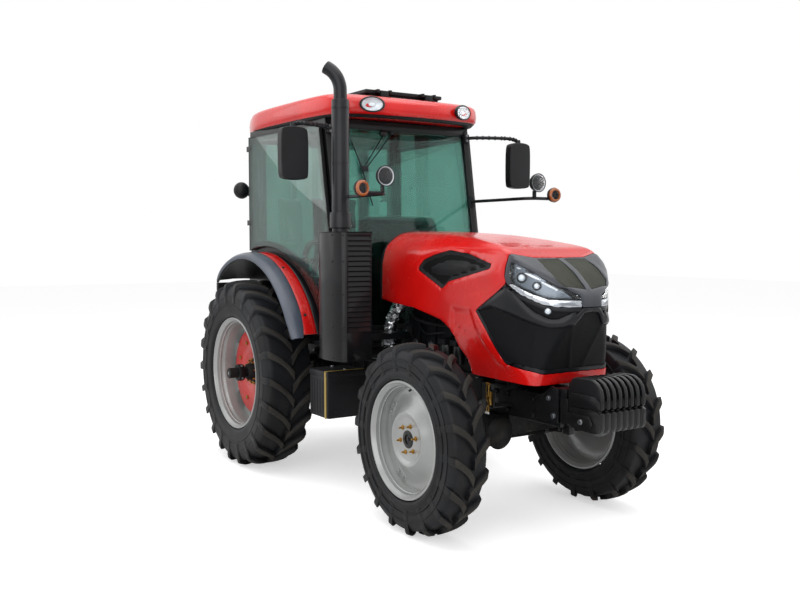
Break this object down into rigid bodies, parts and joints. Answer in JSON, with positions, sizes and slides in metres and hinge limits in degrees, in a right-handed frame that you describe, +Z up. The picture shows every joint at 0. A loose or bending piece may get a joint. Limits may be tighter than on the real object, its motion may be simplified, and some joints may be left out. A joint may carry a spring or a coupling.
{
  "type": "farm tractor with cab",
  "caption": "Farm tractor with closed cab, tilting hood, steered and driven front axle, front ballast, rear three-point hitch and drawbar.",
  "frame": {"origin": "on the ground, at the middle of the whole length and width", "axes": "+X forward, +Y to the driver's left, +Z up"},
  "size_m": [3.97, 2, 2.7268],
  "materials": {
    "red_paint": "gloss",
    "black_paint": "satin",
    "black_plastic": "fine grain",
    "grille_black": "mesh",
    "grey_plastic": "satin",
    "blue_grey_plastic": "satin",
    "cast_iron": "painted casting",
    "tyre": "moulded rubber",
    "silver_rim": "silver paint",
    "glass": "green tint",
    "seat_cover": "woven and vinyl",
    "bare_steel": "machined",
    "chrome": "bright",
    "gold_plate": "plated",
    "lamp_glass": "clear",
    "amber_lens": "clear amber",
    "red_lens": "clear red",
    "mirror": "mirror"
  },
  "bodies": {
    "root": {"transmission_housing": "cast_iron", "drawbar": "black_paint", "engine_block": "cast_iron", "radiator": "black_paint", "front_frame": "black_paint", "front_axle_beam": "cast_iron", "front_weights": "black_paint", "battery_box": "black_plastic", "fuel_tank": "black_plastic", "muffler_guard": "black_paint", "exhaust_stack": "black_paint", "hood_hinge": "black_paint", "cab_frame": "black_paint", "cab_floor": "black_plastic", "windscreen": "glass", "rear_window": "glass", "roof": "red_paint", "dashboard": "black_plastic", "seat_base": "black_plastic", "seat_cushion": "seat_cover", "seat_back": "seat_cover", "top_link": "black_paint", "fender_left": "red_paint", "mirror_left": "black_plastic", "lamp_arm_left": "black_plastic", "quarter_window_left": "glass", "fender_right": "red_paint", "mirror_right": "black_plastic", "lamp_arm_right": "black_plastic", "quarter_window_right": "glass"},
    "hood": {"hood": "red_paint", "nose_cap": "grey_plastic", "front_grille": "grille_black"},
    "roof_hatch": {"roof_hatch": "black_plastic"},
    "steering_wheel": {"steering_wheel": "black_plastic"},
    "tie_rod": {"tie_rod": "black_paint"},
    "lift_arms": {"lift_arms": "black_paint"},
    "lift_rods": {"lift_rod_left": "bare_steel", "lift_rod_right": "bare_steel"},
    "lower_links": {"lower_link_left": "black_paint", "lower_link_right": "black_paint"},
    "door_left": {"door_frame_left": "black_paint", "door_glass_left": "glass"},
    "knuckle_left": {"knuckle_left": "cast_iron"},
    "rear_wheel_left": {"rear_left_tyre": "tyre", "rear_left_wheel": "silver_rim"},
    "front_wheel_left": {"front_left_tyre": "tyre", "front_left_wheel": "silver_rim"},
    "door_right": {"door_frame_right": "black_paint", "door_glass_right": "glass"},
    "knuckle_right": {"knuckle_right": "cast_iron"},
    "rear_wheel_right": {"rear_right_tyre": "tyre", "rear_right_wheel": "silver_rim"},
    "front_wheel_right": {"front_right_tyre": "tyre", "front_right_wheel": "silver_rim"}
  },
  "joints": [
    {"name": "rear_wheel_left_spin", "type": "hinge", "parent": "root", "child": "rear_wheel_left", "pos_m": [-0.945, 0.75, 0.66944], "axis": [0, 1, 0], "continuous": true},
    {"name": "rear_wheel_right_spin", "type": "hinge", "parent": "root", "child": "rear_wheel_right", "pos_m": [-0.945, -0.75, 0.66944], "axis": [0, 1, 0], "continuous": true},
    {"name": "steer_right", "type": "hinge", "parent": "root", "child": "knuckle_right", "pos_m": [1.075, -0.552, 0.53097], "axis": [0, 0, 1], "range_deg": [-35, 35]},
    {"name": "front_wheel_right_spin", "type": "hinge", "parent": "knuckle_right", "child": "front_wheel_right", "pos_m": [1.075, -0.652, 0.53097], "axis": [0, 1, 0], "continuous": true},
    {"name": "steer_left", "type": "hinge", "parent": "root", "child": "knuckle_left", "pos_m": [1.075, 0.552, 0.53097], "axis": [0, 0, 1], "range_deg": [-35, 35]},
    {"name": "front_wheel_left_spin", "type": "hinge", "parent": "knuckle_left", "child": "front_wheel_left", "pos_m": [1.075, 0.652, 0.53097], "axis": [0, 1, 0], "continuous": true},
    {"name": "tie_rod_pivot", "type": "hinge", "parent": "knuckle_right", "child": "tie_rod", "pos_m": [0.905, -0.552, 0.42], "axis": [0, 0, 1], "range_deg": [-35, 35]},
    {"name": "steering_wheel_turn", "type": "hinge", "parent": "root", "child": "steering_wheel", "pos_m": [-0.4, 0, 1.64], "axis": [-0.6018, 0, 0.7986], "range_deg": [-420, 420]},
    {"name": "hood_tilt", "type": "hinge", "parent": "root", "child": "hood", "pos_m": [0.245, 0, 1.57], "axis": [0, -1, 0], "range_deg": [0, 50]},
    {"name": "door_right_swing", "type": "hinge", "parent": "root", "child": "door_right", "pos_m": [-1.20694, -0.66039, 1.9], "axis": [0, 0, -1], "range_deg": [0, 75]},
    {"name": "door_left_swing", "type": "hinge", "parent": "root", "child": "door_left", "pos_m": [-1.20694, 0.66039, 1.9], "axis": [0, 0, 1], "range_deg": [0, 75]},
    {"name": "roof_hatch_tilt", "type": "hinge", "parent": "root", "child": "roof_hatch", "pos_m": [-0.041, 0, 2.6233], "axis": [0, 1, 0], "range_deg": [0, 35]},
    {"name": "lift_arms_raise", "type": "hinge", "parent": "root", "child": "lift_arms", "pos_m": [-1.365, 0, 0.95], "axis": [0, 1, 0], "range_deg": [-18, 45]},
    {"name": "lift_rods_pivot", "type": "hinge", "parent": "lift_arms", "child": "lift_rods", "pos_m": [-1.65478, 0, 0.87235], "axis": [0, 1, 0], "range_deg": [-52, 21]},
    {"name": "lower_links_raise", "type": "hinge", "parent": "root", "child": "lower_links", "pos_m": [-1.095, 0, 0.445], "axis": [0, 1, 0], "range_deg": [-13, 32]}
  ],
  "couplings": [
    {"joint": "steer_left", "follows": "steer_right", "ratio": 1},
    {"joint": "tie_rod_pivot", "follows": "steer_right", "ratio": -1},
    {"joint": "steering_wheel_turn", "follows": "steer_right", "ratio": 12},
    {"joint": "lift_rods_pivot", "follows": "lift_arms_raise", "ratio": -1.148},
    {"joint": "lower_links_raise", "follows": "lift_arms_raise", "ratio": 0.71}
  ]
}
